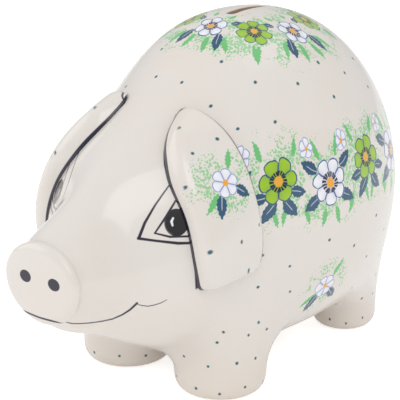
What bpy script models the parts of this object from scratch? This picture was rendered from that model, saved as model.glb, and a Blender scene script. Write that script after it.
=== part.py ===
"""Ceramic piggy bank: hollow slip-cast body, two laid-on ears, curled tail and a rubber stopper.

The snout points to -Y, the pig's left flank to +X, and the feet stand on z = 0.
The body is one lofted cage of sixteen-point rings, with a leg drawn down from each corner of
the belly, smoothed by subdivision. The same cage, set in by the wall thickness, is the hollow.
"""
import math
from collections import namedtuple

import bmesh
import bpy
from mathutils import Vector
from mathutils.bvhtree import BVHTree

MM = 0.001

# Barrel of the body: a stretched round whose rear half follows one curve (sizes of its cage, mm).
BARREL_CENTRE_Y = 22.0
BARREL_REACH = 91.6
BARREL_ROUNDNESS = 2.4
BARREL_HALF_WIDTH = 74.8
BARREL_TOP = 180.9
BARREL_BOTTOM = 9.8
BARREL_WIDEST_Z = 85.0
BARREL_TAIL_DROP = 3.0
BELLY_SQUARENESS = 0.24
REAR_FRACTIONS = (0.985, 0.91, 0.755, 0.555, 0.31, 0.0)

# Squareness fills out the belly corners; pinch draws in the brow on both sides of the muzzle.
Station = namedtuple("Station", "y half_width top bottom widest_z squareness pinch")

# Shoulders, head and muzzle, from behind the ears to the snout disc.
HEAD_STATIONS = (
    Station(0, 69.6, 176.4, 9.4, 86.0, 0.22, 0.0),
    Station(-29, 59.5, 154.5, 12.5, 84.0, 0.20, 0.0),
    Station(-48, 55.8, 141.5, 18.5, 82.0, 0.15, 0.01),
    Station(-62, 54.0, 132.5, 25.3, 79.0, 0.10, 0.07),
    Station(-74, 43.6, 124.5, 32.0, 75.5, 0.05, 0.15),
    Station(-85, 32.5, 115.5, 38.0, 74.5, 0.0, 0.18),
    Station(-97, 27.8, 107.2, 43.0, 74.5, 0.0, 0.15),
    Station(-108, 25.0, 99.5, 47.3, 75.0, 0.0, 0.05),
)
SNOUT_STATIONS = (
    Station(-114.6, 21.4, 94.0, 53.2, 74.8, 0.0, 0.0),
    Station(-116.2, 23.4, 94.6, 54.2, 74.6, 0.0, 0.0),
    Station(-119.0, 24.0, 94.8, 54.2, 74.6, 0.0, 0.0),
    Station(-121.2, 22.0, 92.4, 56.6, 74.6, 0.0, 0.0),
    Station(-121.6, 14.0, 85.0, 64.2, 74.6, 0.0, 0.0),
)
PINCH_DROP = 0.6
RING_ANGLES = (0, 22, 45, 68, 92, 123, 150, 169, 180)
# On the flat belly the last ring angle moves this much towards the middle line, clear of the legs.
BELLY_ANGLE_SHIFT = 7.5
RUMP_BULGE = 1.5
SNOUT_BULGE = 0.3

# A leg starts just under the belly: heights from its outer to its inner side, rear row first.
Leg = namedtuple("Leg", "station x y radius shoulder")
FRONT_LEG = Leg(7, 30.8, -26.4, 27.0, ((17, 9.5, 6.5), (16, 12, 8.5), (16, 16, 13)))
HIND_LEG = Leg(3, 30.1, 79.8, 20.5, ((16, 16, 16), (16, 16, 14.5), (16, 13.5, 11)))
# Height above the floor and how much narrower than the leg's radius, from the shank to the sole.
LEG_LEVELS = ((4.5, 1.0), (0.0, 5.0), (0.0, 12.5))
SHOULDER_NARROWER = 2.0

WALL = 5.5
BELLY_WALL = 6.5
HOLLOW_LEG_LEVELS = ((10.5, 7.0), (7.0, 10.0), (7.0, 15.0))
HOLLOW_SNOUT_BULGE = 2.5

SLOT_CENTRE_Y = 31.5
SLOT_LENGTH = 30.0
SLOT_WIDTH = 5.0
SLOT_FROM_Z = 150.0
SLOT_TO_Z = 190.0

STOPPER_Y = 24.0
SEAT_Z = 13.0
SEAT_RADIUS = 18.5
HOLE_RADIUS = 14.3
RUNNING_GAP = 0.3
FLANGE_RADIUS = 17.8
FLANGE_THICKNESS = 2.4
BARREL_LENGTH = 9.0
STOPPER_WALL = 2.8
STOPPER_FLOOR = 1.8
PULL_BAR = (16.0, 3.0, 2.2)

# Ear outline in a slanted plane: y, and height up the side of the head, from top to bottom.
EAR_SLANT = math.radians(40)
EAR_FRONT = ((-39.4, 97.4), (-44.8, 94.0), (-51.6, 88.6), (-58.0, 80.4), (-63.0, 67.5),
             (-64.2, 50.0), (-65.1, 33.0), (-63.4, 20.8))
EAR_REAR = ((-38.6, 97.0), (-35.8, 90.8), (-33.4, 79.8), (-32.4, 67.0), (-32.2, 41.5),
            (-31.2, 29.0), (-31.6, 23.0), (-33.2, 20.4))
EAR_BOTTOM = ((-63.4, 20.8), (-56.0, 20.0), (-44.0, 19.0), (-36.4, 18.8), (-33.2, 20.4))
EAR_COLUMNS = 7
EAR_ROWS = 14
EAR_FRONT_HEIGHT = 5.2
EAR_CREST_HEIGHT = 6.4
EAR_REAR_HEIGHT = 1.9
EAR_TIP_HEIGHT = 2.6
EAR_ROOT_DEPTH = 3.0
CLAY_GAP = 0.3

TAIL_RADIUS = 3.5
TAIL_TIP_RADIUS = 1.7
TAIL_CENTRE = Vector((0.0, 118.1, 93.0))
TAIL_CURL_START = 8.4
TAIL_CURL_END = 5.2
TAIL_TURN = math.radians(285)
TAIL_ROOT_DEPTH = 8.0
TAIL_ROOT_SHARE = 0.26
TAIL_RINGS = 26
TAIL_SIDES = 10

LATHE_STEPS = 40


def clear_scene():
    for old in list(bpy.data.objects):
        bpy.data.objects.remove(old, do_unlink=True)


def make_material(name, colour, roughness, metallic=0.0):
    material = bpy.data.materials.new(name)
    material.use_nodes = True
    shader = material.node_tree.nodes["Principled BSDF"]
    shader.inputs["Base Color"].default_value = (*colour, 1.0)
    shader.inputs["Roughness"].default_value = roughness
    shader.inputs["Metallic"].default_value = metallic
    return material


def add_object(name, mesh_builder, material=None):
    """Turn a finished bmesh in millimetres into a smooth-shaded object in metres."""
    bmesh.ops.scale(mesh_builder, vec=(MM, MM, MM), verts=mesh_builder.verts)
    bmesh.ops.recalc_face_normals(mesh_builder, faces=mesh_builder.faces)
    mesh = bpy.data.meshes.new(name)
    mesh_builder.to_mesh(mesh)
    mesh_builder.free()
    mesh.shade_smooth()
    mesh.set_sharp_from_angle(angle=math.radians(40))
    thing = bpy.data.objects.new(name, mesh)
    bpy.context.collection.objects.link(thing)
    if material:
        mesh.materials.append(material)
    return thing


def hide_guide(thing):
    thing.hide_render = True
    thing.display_type = "WIRE"


def add_subdivision(thing):
    smooth = thing.modifiers.new("smooth", "SUBSURF")
    smooth.levels = 1
    smooth.render_levels = 1


def add_boolean(thing, other, operation="DIFFERENCE"):
    cut = thing.modifiers.new(other.name, "BOOLEAN")
    cut.operation = operation
    cut.solver = "EXACT"
    cut.object = other


# ---------------------------------------------------------------- body cage

def rear_stations(wall=0.0, belly_wall=0.0):
    """Rings of the rear half of the barrel, from the rump forward to its widest ring."""
    stations = []
    for fraction in REAR_FRACTIONS:
        share = (1.0 - fraction ** BARREL_ROUNDNESS) ** (1.0 / BARREL_ROUNDNESS)
        middle = BARREL_WIDEST_Z - BARREL_TAIL_DROP * fraction
        stations.append(Station(
            BARREL_CENTRE_Y + (BARREL_REACH - wall) * fraction,
            (BARREL_HALF_WIDTH - wall) * share,
            middle + (BARREL_TOP - wall - middle) * share,
            middle - (middle - BARREL_BOTTOM - belly_wall) * share,
            middle, BELLY_SQUARENESS * share, 0.0))
    return stations


def set_in(station, wall, belly_wall):
    return station._replace(half_width=station.half_width - wall, top=station.top - wall,
                            bottom=station.bottom + belly_wall)


def ring_points(station):
    """Sixteen points round one station, from the top down the left side and back up the right."""
    angles = list(RING_ANGLES)
    angles[7] += BELLY_ANGLE_SHIFT * min(1.0, station.squareness / 0.15)
    half = []
    for degrees in angles:
        across = abs(math.sin(math.radians(degrees)))
        along = math.cos(math.radians(degrees))
        power = 1.0 - station.squareness if along < 0 else 1.0
        height = station.top - station.widest_z if along > 0 else station.widest_z - station.bottom
        lift = math.copysign(abs(along) ** power, along)
        pinch = station.pinch * max(0.0, 2 * across * along)
        half.append(Vector((station.half_width * across ** power * (1 - pinch), station.y,
                            station.widest_z + height * lift * (1 - PINCH_DROP * pinch))))
    mirrored = [Vector((-point.x, point.y, point.z)) for point in reversed(half[1:-1])]
    return half + mirrored


def close_end(cage, ring, bulge):
    """Close a sixteen-point ring with a four by four patch that bulges along Y."""
    rim = [ring[(14 + step) % 16] for step in range(16)]
    top, left, bottom, right = rim[0:5], rim[4:9], rim[8:13], rim[12:16] + [rim[0]]
    bottom.reverse()
    right.reverse()
    patch = [[None] * 5 for _ in range(5)]
    patch[0], patch[4] = top, bottom
    for row in range(1, 4):
        patch[row][0], patch[row][4] = right[row], left[row]
        for column in range(1, 4):
            u, v = column / 4, row / 4
            place = (top[column].co * (1 - v) + bottom[column].co * v
                     + right[row].co * (1 - u) + left[row].co * u
                     - top[0].co * (1 - u) * (1 - v) - top[4].co * u * (1 - v)
                     - bottom[0].co * (1 - u) * v - bottom[4].co * u * v)
            inward = 2 * min(u, 1 - u, v, 1 - v)
            place.y += bulge * (1 - (1 - inward) ** 2)
            patch[row][column] = cage.verts.new(place)
    for row in range(4):
        for column in range(4):
            cage.faces.new((patch[row][column], patch[row][column + 1],
                            patch[row + 1][column + 1], patch[row + 1][column]))


def draw_leg(cage, rings, leg, side, levels, wall):
    """Pull the belly patch round a station down into a round leg with a flat sole."""
    columns = (5, 6, 7) if side > 0 else (11, 10, 9)
    patch = [[rings[leg.station + step][column] for column in columns] for step in (-1, 0, 1)]
    for row in range(2):
        for column in range(2):
            corner = {patch[row][column], patch[row][column + 1],
                      patch[row + 1][column + 1], patch[row + 1][column]}
            face = next(face for face in patch[row][column].link_faces if set(face.verts) == corner)
            cage.faces.remove(face)
    edge_order = ((0, 0), (0, 1), (0, 2), (1, 2), (2, 2), (2, 1), (2, 0), (1, 0))
    shoulder = [[height + wall for height in row] for row in leg.shoulder]
    rounds = [(shoulder, wall + SHOULDER_NARROWER)]
    rounds += [([[height] * 3] * 3, narrower) for height, narrower in levels]
    upper = patch
    for heights, narrower in rounds:
        lower = [[None] * 3 for _ in range(3)]
        for row in range(3):
            for column in range(3):
                spoke = Vector((side * (1 - column), 1 - row, 0.0))
                if spoke.length > 0:
                    spoke.normalize()
                centre = Vector((side * leg.x, leg.y, heights[row][column]))
                lower[row][column] = cage.verts.new(centre + spoke * (leg.radius - narrower))
        for index, (row, column) in enumerate(edge_order):
            next_row, next_column = edge_order[(index + 1) % 8]
            cage.faces.new((upper[row][column], upper[next_row][next_column],
                            lower[next_row][next_column], lower[row][column]))
        upper = lower
    for row in range(2):
        for column in range(2):
            cage.faces.new((upper[row][column], upper[row][column + 1],
                            upper[row + 1][column + 1], upper[row + 1][column]))


def pig_cage(stations, leg_levels, rump_bulge, snout_bulge, wall=0.0):
    cage = bmesh.new()
    rings = [[cage.verts.new(point) for point in ring_points(station)] for station in stations]
    for rear, front in zip(rings, rings[1:]):
        for index in range(16):
            after = (index + 1) % 16
            cage.faces.new((rear[index], front[index], front[after], rear[after]))
    close_end(cage, rings[0], rump_bulge)
    close_end(cage, rings[-1], -snout_bulge)
    for leg in (FRONT_LEG, HIND_LEG):
        for side in (1, -1):
            draw_leg(cage, rings, leg, side, leg_levels, wall)
    return cage


def outer_cage():
    stations = rear_stations() + list(HEAD_STATIONS) + list(SNOUT_STATIONS)
    return pig_cage(stations, LEG_LEVELS, RUMP_BULGE, SNOUT_BULGE)


def hollow_cage():
    stations = rear_stations(WALL, BELLY_WALL)
    stations += [set_in(station, WALL, BELLY_WALL) for station in HEAD_STATIONS]
    return pig_cage(stations, HOLLOW_LEG_LEVELS, RUMP_BULGE, HOLLOW_SNOUT_BULGE, WALL)


# ---------------------------------------------------------------- openings in the shell

def add_slot_cutter():
    """A coin slot with round ends, long side fore and aft."""
    cutter = bmesh.new()
    outline = []
    for end in (1, -1):
        for step in range(9):
            angle = math.pi * step / 8
            outline.append(cutter.verts.new((
                end * math.cos(angle) * SLOT_WIDTH / 2,
                SLOT_CENTRE_Y + end * ((SLOT_LENGTH - SLOT_WIDTH) / 2
                                       + math.sin(angle) * SLOT_WIDTH / 2),
                SLOT_FROM_Z)))
    base = cutter.faces.new(outline)
    raised = bmesh.ops.extrude_face_region(cutter, geom=[base])["geom"]
    bmesh.ops.translate(cutter, vec=(0, 0, SLOT_TO_Z - SLOT_FROM_Z),
                        verts=[item for item in raised if isinstance(item, bmesh.types.BMVert)])
    thing = add_object("slot_cutter", cutter)
    hide_guide(thing)
    return thing


def turned_solid(profile):
    """Turn an outline of (radius, height) pairs, whose ends lie on the axis, round +Z."""
    lathe = bmesh.new()
    points = [lathe.verts.new((radius, 0.0, height)) for radius, height in profile]
    edges = [lathe.edges.new(pair) for pair in zip(points, points[1:])]
    bmesh.ops.spin(lathe, geom=points + edges, cent=(0, 0, 0), axis=(0, 0, 1),
                   angle=2 * math.pi, steps=LATHE_STEPS, use_merge=True)
    bmesh.ops.remove_doubles(lathe, verts=lathe.verts, dist=0.001)
    bmesh.ops.translate(lathe, vec=(0, STOPPER_Y, 0), verts=lathe.verts)
    return lathe


def add_belly_cutter():
    """The stopper's hole, with a shallow flat seat for its flange."""
    below, above = SEAT_Z - 20.0, SEAT_Z + 15.0
    profile = ((0, below), (SEAT_RADIUS, below), (SEAT_RADIUS, SEAT_Z), (HOLE_RADIUS, SEAT_Z),
               (HOLE_RADIUS, above), (0, above))
    thing = add_object("belly_cutter", turned_solid(profile))
    hide_guide(thing)
    return thing


def add_body_shell():
    shell = add_object("body_shell", outer_cage(),
                       make_material("glazed_body", (0.80, 0.77, 0.73), 0.12))
    add_subdivision(shell)
    hollow = add_object("hollow_former", hollow_cage())
    add_subdivision(hollow)
    hide_guide(hollow)
    for cutter in (hollow, add_slot_cutter(), add_belly_cutter()):
        add_boolean(shell, cutter)
    return shell


def add_clearance_skin():
    """The body's outer surface moved out by the clay gap: it trims what is laid on the body."""
    skin = add_object("clearance_skin", outer_cage())
    add_subdivision(skin)
    swell = skin.modifiers.new("swell", "DISPLACE")
    swell.mid_level = 0.0
    swell.strength = CLAY_GAP * MM
    hide_guide(skin)
    return skin


# ---------------------------------------------------------------- ears

def along_curve(points, fraction):
    """A point part of the way along a smooth curve through a row of points."""
    last = len(points) - 1
    place = min(fraction * last, last - 1e-9)
    index = int(place)
    local = place - index
    before, start = points[max(index - 1, 0)], points[index]
    end, after = points[index + 1], points[min(index + 2, last)]
    return tuple(0.5 * (2 * b + (c - a) * local + (2 * a - 5 * b + 4 * c - d) * local ** 2
                        + (3 * b - a - 3 * c + d) * local ** 3)
                 for a, b, c, d in zip(before, start, end, after))


def ear_chart(across, down):
    """Outline plane position for a share across the ear (front to rear) and down it."""
    front, rear = Vector(along_curve(EAR_FRONT, down)), Vector(along_curve(EAR_REAR, down))
    bottom = Vector(along_curve(EAR_BOTTOM, across))
    tip_front, tip_rear = Vector(EAR_FRONT[0]), Vector(EAR_REAR[0])
    low_front, low_rear = Vector(EAR_FRONT[-1]), Vector(EAR_REAR[-1])
    between_sides = front.lerp(rear, across)
    between_ends = tip_front.lerp(tip_rear, across).lerp(bottom, down)
    corners = tip_front.lerp(tip_rear, across).lerp(low_front.lerp(low_rear, across), down)
    return between_sides + between_ends - corners


def ear_height(across, down):
    """How far the flap stands off the head: a thick front edge, a crest, and a thin rear edge."""
    if across < 0.2:
        height = EAR_FRONT_HEIGHT + (EAR_CREST_HEIGHT - EAR_FRONT_HEIGHT) * across / 0.2
    else:
        share = (across - 0.2) / 0.8
        height = EAR_CREST_HEIGHT + (EAR_REAR_HEIGHT - EAR_CREST_HEIGHT) * math.sin(share * math.pi / 2)
    return EAR_TIP_HEIGHT + (height - EAR_TIP_HEIGHT) * min(1.0, down / 0.3)


def add_ear(name, side, head, skin, material):
    flap = bmesh.new()
    look = Vector((side * math.cos(EAR_SLANT), 0.0, math.sin(EAR_SLANT)))
    upward = Vector((-side * math.sin(EAR_SLANT), 0.0, math.cos(EAR_SLANT)))
    layers = ([], [])
    for row in range(EAR_ROWS + 1):
        rows = ([], [])
        for column in range(EAR_COLUMNS + 1):
            across, down = column / EAR_COLUMNS, row / EAR_ROWS
            y, height = ear_chart(across, down)
            start = upward * height + look * 150.0 + Vector((0.0, y, 0.0))
            hit, normal = head.ray_cast(start * MM, -look)[:2]
            outside = hit / MM + normal * ear_height(across, down)
            inside = hit / MM - normal * EAR_ROOT_DEPTH
            rows[0].append(flap.verts.new(outside))
            rows[1].append(flap.verts.new(inside))
        layers[0].append(rows[0])
        layers[1].append(rows[1])
    for layer in layers:
        for row in range(EAR_ROWS):
            for column in range(EAR_COLUMNS):
                flap.faces.new((layer[row][column], layer[row][column + 1],
                                layer[row + 1][column + 1], layer[row + 1][column]))
    outer, inner = layers
    rim = [(0, column) for column in range(EAR_COLUMNS)]
    rim += [(row, EAR_COLUMNS) for row in range(EAR_ROWS)]
    rim += [(EAR_ROWS, column) for column in range(EAR_COLUMNS, 0, -1)]
    rim += [(row, 0) for row in range(EAR_ROWS, 0, -1)]
    for (row, column), (next_row, next_column) in zip(rim, rim[1:] + rim[:1]):
        flap.faces.new((outer[row][column], outer[next_row][next_column],
                        inner[next_row][next_column], inner[row][column]))
    thing = add_object(name, flap, material)
    add_boolean(thing, skin)
    return thing


# ---------------------------------------------------------------- tail

def tail_point(share):
    """A straight root out of the rump, then most of a turn that tightens towards the tip."""
    turn = -math.pi / 2 + share * TAIL_TURN
    radius = TAIL_CURL_START + (TAIL_CURL_END - TAIL_CURL_START) * share
    depth = TAIL_ROOT_DEPTH * max(0.0, 1.0 - share / TAIL_ROOT_SHARE) ** 2
    return TAIL_CENTRE + Vector((radius * math.cos(turn), -depth - 1.6 * share,
                                 radius * math.sin(turn)))


def add_tail(skin, material):
    tube = bmesh.new()
    rings = []
    for index in range(TAIL_RINGS + 1):
        share = index / TAIL_RINGS
        centre = tail_point(share)
        heading = (tail_point(share + 0.01) - tail_point(share - 0.01)).normalized()
        sideways = heading.cross(Vector((0.0, 1.0, 0.0))).normalized()
        outward = sideways.cross(heading)
        radius = TAIL_RADIUS + (TAIL_TIP_RADIUS - TAIL_RADIUS) * share
        rings.append([tube.verts.new(centre + radius * (sideways * math.cos(angle)
                                                        + outward * math.sin(angle)))
                      for angle in (2 * math.pi * side / TAIL_SIDES for side in range(TAIL_SIDES))])
    for first, second in zip(rings, rings[1:]):
        for index in range(TAIL_SIDES):
            after = (index + 1) % TAIL_SIDES
            tube.faces.new((first[index], first[after], second[after], second[index]))
    tube.faces.new(rings[0])
    tube.faces.new(rings[-1])
    thing = add_object("tail", tube, material)
    add_boolean(thing, skin)
    return thing


# ---------------------------------------------------------------- stopper

def add_stopper():
    """Soft bung: flange in the belly seat, hollow barrel up through the hole, pull bar below."""
    top_of_flange = SEAT_Z - RUNNING_GAP
    base = top_of_flange - FLANGE_THICKNESS
    barrel = HOLE_RADIUS - RUNNING_GAP
    top = top_of_flange + BARREL_LENGTH
    profile = ((0, base), (FLANGE_RADIUS - 1.0, base), (FLANGE_RADIUS, base + 0.9),
               (FLANGE_RADIUS, top_of_flange - 0.5), (FLANGE_RADIUS - 0.5, top_of_flange),
               (barrel, top_of_flange), (barrel, top - 2.0), (barrel - 0.9, top),
               (barrel - STOPPER_WALL, top), (barrel - STOPPER_WALL, base + STOPPER_FLOOR),
               (0, base + STOPPER_FLOOR))
    stopper = add_object("stopper", turned_solid(profile),
                         make_material("soft_rubber", (0.02, 0.02, 0.022), 0.55))
    length, width, depth = PULL_BAR
    bar = bmesh.new()
    bmesh.ops.create_cube(bar, size=1.0)
    bmesh.ops.scale(bar, vec=(length, width, depth + 1.0), verts=bar.verts)
    bmesh.ops.translate(bar, vec=(0, STOPPER_Y, base + 0.5 - depth / 2), verts=bar.verts)
    bmesh.ops.bevel(bar, geom=bar.edges[:], offset=0.7, segments=2, profile=0.5, affect="EDGES")
    handle = add_object("pull_bar_former", bar)
    hide_guide(handle)
    add_boolean(stopper, handle, "UNION")
    return stopper


def main():
    clear_scene()
    add_body_shell()
    skin = add_clearance_skin()
    trim = make_material("glazed_trim", (0.82, 0.79, 0.75), 0.12)
    head_guide = add_object("head_guide", outer_cage())
    add_subdivision(head_guide)
    hide_guide(head_guide)
    head = BVHTree.FromObject(head_guide, bpy.context.evaluated_depsgraph_get())
    add_ear("ear_left", 1, head, skin, trim)
    add_ear("ear_right", -1, head, skin, trim)
    add_tail(skin, trim)
    add_stopper()


main()
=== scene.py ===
import math

import bmesh
import bpy
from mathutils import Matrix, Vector
from mathutils.bvhtree import BVHTree


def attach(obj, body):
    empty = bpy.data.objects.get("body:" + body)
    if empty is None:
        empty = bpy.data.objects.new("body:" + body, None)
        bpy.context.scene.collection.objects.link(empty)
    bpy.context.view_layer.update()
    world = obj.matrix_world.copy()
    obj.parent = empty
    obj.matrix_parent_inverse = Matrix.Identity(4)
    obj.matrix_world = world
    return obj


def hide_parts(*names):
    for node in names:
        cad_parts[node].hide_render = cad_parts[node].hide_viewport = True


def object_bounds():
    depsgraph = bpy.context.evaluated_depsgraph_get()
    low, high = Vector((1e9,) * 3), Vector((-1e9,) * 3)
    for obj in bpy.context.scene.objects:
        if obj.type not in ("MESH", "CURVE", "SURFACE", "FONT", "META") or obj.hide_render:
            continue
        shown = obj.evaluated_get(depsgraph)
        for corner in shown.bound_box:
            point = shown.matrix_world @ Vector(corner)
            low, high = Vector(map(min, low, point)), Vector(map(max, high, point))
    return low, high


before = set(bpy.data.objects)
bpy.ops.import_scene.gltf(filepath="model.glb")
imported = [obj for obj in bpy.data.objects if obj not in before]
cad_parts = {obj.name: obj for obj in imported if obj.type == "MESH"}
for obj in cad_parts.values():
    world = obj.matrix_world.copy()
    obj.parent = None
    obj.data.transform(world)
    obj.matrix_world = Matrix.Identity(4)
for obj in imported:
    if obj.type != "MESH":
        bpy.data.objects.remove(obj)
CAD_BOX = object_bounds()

# A hollow glazed stoneware pig: body with four legs and snout, two laid-on ears, a curled tail and
# a rubber stopper. Sizes are in millimetres. The snout points to -Y, the pig's left side to +X.
MM = 0.001

# ---------------- sizes of the body

BARREL_CENTRE_Y = 22.0
BARREL_REACH = 91.6
BARREL_ROUNDNESS = 2.4
BARREL_HALF_WIDTH = 74.8
BARREL_TOP = 180.9
BARREL_BOTTOM = 9.8
BARREL_WIDEST_Z = 85.0
BARREL_TAIL_DROP = 3.0
BELLY_SQUARENESS = 0.24
REAR_FRACTIONS = (0.985, 0.91, 0.755, 0.555, 0.31, 0.0)

# Rings from the shoulders to the snout: y, half width, top, bottom, widest height, how square
# the belly is, and how far the brow is drawn in.
HEAD_RINGS = (
    (0, 69.6, 176.4, 9.4, 86.0, 0.22, 0.0),
    (-29, 59.5, 154.5, 12.5, 84.0, 0.20, 0.0),
    (-48, 55.8, 141.5, 18.5, 82.0, 0.15, 0.01),
    (-62, 54.0, 132.5, 25.3, 79.0, 0.10, 0.07),
    (-74, 43.6, 124.5, 32.0, 75.5, 0.05, 0.15),
    (-85, 32.5, 115.5, 38.0, 74.5, 0.0, 0.18),
    (-97, 27.8, 107.2, 43.0, 74.5, 0.0, 0.15),
    (-108, 25.0, 99.5, 47.3, 75.0, 0.0, 0.05),
)
SNOUT_RINGS = (
    (-114.6, 21.4, 94.0, 53.2, 74.8, 0.0, 0.0),
    (-116.2, 23.4, 94.6, 54.2, 74.6, 0.0, 0.0),
    (-119.0, 24.0, 94.8, 54.2, 74.6, 0.0, 0.0),
    (-121.2, 22.0, 92.4, 56.6, 74.6, 0.0, 0.0),
    (-121.6, 14.0, 85.0, 64.2, 74.6, 0.0, 0.0),
)
RING_ANGLES = (0, 22, 45, 68, 92, 123, 150, 169, 180)
BELLY_ANGLE_SHIFT = 7.5
PINCH_DROP = 0.6
RUMP_BULGE = 1.5
SNOUT_BULGE = 0.3

# Legs: ring they hang from, x, y, radius, heights of the shoulder from outer to inner side.
FRONT_LEG = (7, 30.8, -26.4, 27.0, ((17, 9.5, 6.5), (16, 12, 8.5), (16, 16, 13)))
HIND_LEG = (3, 30.1, 79.8, 20.5, ((16, 16, 16), (16, 16, 14.5), (16, 13.5, 11)))
LEG_LEVELS = ((4.5, 1.0), (0.0, 5.0), (0.0, 12.5))
SHOULDER_NARROWER = 2.0

WALL = 5.5
BELLY_WALL = 6.5
HOLLOW_LEG_LEVELS = ((10.5, 7.0), (7.0, 10.0), (7.0, 15.0))
HOLLOW_SNOUT_BULGE = 2.5

SLOT_Y = 31.5
SLOT_LENGTH = 30.0
SLOT_WIDTH = 5.0
SLOT_END_SIDES = 10
# Lip of the slot, from inside out: how much it is grown, and how far it lies below the glaze.
SLOT_LIP = ((0, 0.8), (0.12, 0.45), (0.35, 0.17), (0.75, 0.02), (1.2, -0.15))
SLOT_FOOT_Z = 150
SLOT_GLAZED_Z = 160
ABOVE_BACK_Z = 190
STOPPER_Y = 24.0
HOLE_RADIUS = 14.3
SEAT_RADIUS = 18.5
SEAT_Z = 13.0
ROUND_SIDES = 72


# ---------------- modelling by hand

def nothing_selected():
    if bpy.context.object and bpy.context.object.mode != "OBJECT":
        bpy.ops.object.mode_set(mode="OBJECT")
    bpy.ops.object.select_all(action="DESELECT")


def select_only(piece):
    nothing_selected()
    piece.select_set(True)
    bpy.context.view_layer.objects.active = piece


def start_ring(name, points):
    """A new piece in edit mode: a circle whose vertices take their places on the first ring."""
    nothing_selected()
    bpy.ops.mesh.primitive_circle_add(vertices=len(points), radius=0.01)
    piece = bpy.context.object
    piece.name = piece.data.name = name
    bpy.ops.object.mode_set(mode="EDIT")
    mesh = bmesh.from_edit_mesh(piece.data)
    mesh.verts.ensure_lookup_table()
    for vertex, point in zip(mesh.verts, points):
        vertex.co = point * MM
    bmesh.update_edit_mesh(piece.data)
    return piece


def draw_out(piece, old, new):
    """Extrude what is selected and move each copied vertex from its old place to its new one."""
    bpy.ops.mesh.extrude_region_move()
    mesh = bmesh.from_edit_mesh(piece.data)
    for vertex in mesh.verts:
        if vertex.select:
            index = min(range(len(old)), key=lambda k: (vertex.co - old[k] * MM).length_squared)
            vertex.co = new[index] * MM
    bmesh.update_edit_mesh(piece.data)


def select_places(piece, points):
    """Select the vertices that lie at these points, with the edges and faces between them."""
    bpy.ops.mesh.select_all(action="DESELECT")
    mesh = bmesh.from_edit_mesh(piece.data)
    for vertex in mesh.verts:
        vertex.select = any((vertex.co - point * MM).length < 1e-6 for point in points)
    mesh.select_flush(True)
    bmesh.update_edit_mesh(piece.data)


def close_with_grid(piece, ring, bulge):
    """Fill a sixteen-point ring with a four by four grid that bulges along Y."""
    select_places(piece, ring)
    bpy.ops.mesh.fill_grid(span=4)
    mesh = bmesh.from_edit_mesh(piece.data)
    middle = sum(ring, Vector()) / len(ring)
    reach = sum((point - middle).length for point in ring) / len(ring)
    for vertex in mesh.verts:
        if vertex.select and min((vertex.co - point * MM).length for point in ring) > 1e-6:
            away = min(1.0, (vertex.co / MM - middle).length / reach)
            vertex.co.y += bulge * (1.0 - away ** 2) * MM
    bmesh.update_edit_mesh(piece.data)


def finish_modelling(piece):
    bpy.ops.mesh.select_all(action="SELECT")
    bpy.ops.mesh.normals_make_consistent(inside=False)
    bpy.ops.object.mode_set(mode="OBJECT")
    return piece


def closed_form(name, rings):
    """A piece drawn out from ring to ring, with a flat face on each end."""
    piece = start_ring(name, rings[0])
    for old, new in zip(rings, rings[1:]):
        draw_out(piece, old, new)
    for end in (rings[0], rings[-1]):
        select_places(piece, end)
        bpy.ops.mesh.edge_face_add()
    return finish_modelling(piece)


def apply_modifier(piece, kind, **settings):
    select_only(piece)
    modifier = piece.modifiers.new(kind.lower(), kind)
    for setting, value in settings.items():
        setattr(modifier, setting, value)
    bpy.ops.object.modifier_apply(modifier=modifier.name)


def subdivide_smoothly(piece, levels):
    apply_modifier(piece, "SUBSURF", levels=levels, render_levels=levels)


def cut_away(piece, cutter, operation="DIFFERENCE"):
    apply_modifier(piece, "BOOLEAN", operation=operation, object=cutter, solver="EXACT",
                   material_mode="TRANSFER")
    bpy.data.objects.remove(cutter, do_unlink=True)


def shade_smooth(piece, degrees=35):
    select_only(piece)
    bpy.ops.object.shade_smooth_by_angle(angle=math.radians(degrees))


def surface_of(piece):
    return BVHTree.FromObject(piece, bpy.context.evaluated_depsgraph_get())


def even_turn(count):
    """Angles evenly spaced round a full turn."""
    return [2 * math.pi * k / count for k in range(count)]


def between(before, start, end, after, local):
    """A point from start to end, on the smooth curve through all four points."""
    return 0.5 * (2 * start + (end - before) * local
                  + (2 * before - 5 * start + 4 * end - after) * local ** 2
                  + (3 * start - before - 3 * end + after) * local ** 3)


def smooth_path(points, step):
    """Points about a step apart along a smooth curve through a few chosen points."""
    points = [Vector(point) for point in points]
    path = []
    for index in range(len(points) - 1):
        before, start = points[max(index - 1, 0)], points[index]
        end, after = points[index + 1], points[min(index + 2, len(points) - 1)]
        count = max(1, round((end - start).length / step))
        path += [between(before, start, end, after, k / count) for k in range(count)]
    return path + [points[-1]]


# ---------------- body

def rear_rings(wall, belly_wall):
    """Rings of the rear half of the barrel, from the rump forward to its widest ring."""
    rings = []
    for fraction in REAR_FRACTIONS:
        share = (1.0 - fraction ** BARREL_ROUNDNESS) ** (1.0 / BARREL_ROUNDNESS)
        middle = BARREL_WIDEST_Z - BARREL_TAIL_DROP * fraction
        rings.append((BARREL_CENTRE_Y + (BARREL_REACH - wall) * fraction,
                      (BARREL_HALF_WIDTH - wall) * share,
                      middle + (BARREL_TOP - wall - middle) * share,
                      middle - (middle - BARREL_BOTTOM - belly_wall) * share,
                      middle, BELLY_SQUARENESS * share, 0.0))
    return rings


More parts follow.
